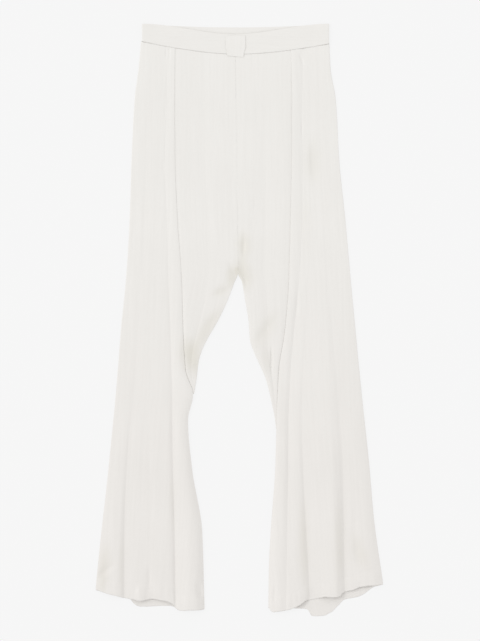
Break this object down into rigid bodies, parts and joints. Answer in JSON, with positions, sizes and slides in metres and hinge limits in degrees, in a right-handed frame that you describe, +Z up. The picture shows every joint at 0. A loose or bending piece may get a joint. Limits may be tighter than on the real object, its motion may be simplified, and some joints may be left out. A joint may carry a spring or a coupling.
{
  "type": "trousers",
  "caption": "Long off-white trousers with a low gored crotch, legs flaring to a full hem, a smooth waistband and a front tab, laid flat.",
  "frame": {"origin": "centre of the bounding box at the surface that the garment lies on", "axes": "+Y along the garment towards the waist, +X towards the wearer's left leg, +Z up, out of the front of the garment"},
  "size_m": [0.5328, 1.0984, 0.0158],
  "materials": {
    "trouser_cloth": "off-white satin with a soft sheen and fine lengthwise streaks",
    "band_cloth": "the same satin, pressed smooth"
  },
  "bodies": {
    "root": {"right_leg_panel": "trouser_cloth", "right_front_gore": "trouser_cloth", "right_back_gore": "trouser_cloth", "left_leg_panel": "trouser_cloth", "left_front_gore": "trouser_cloth", "left_back_gore": "trouser_cloth", "waistband_front_right": "band_cloth", "waistband_front_left": "band_cloth", "waistband_back": "band_cloth", "front_tab": "band_cloth"}
  },
  "joints": []
}
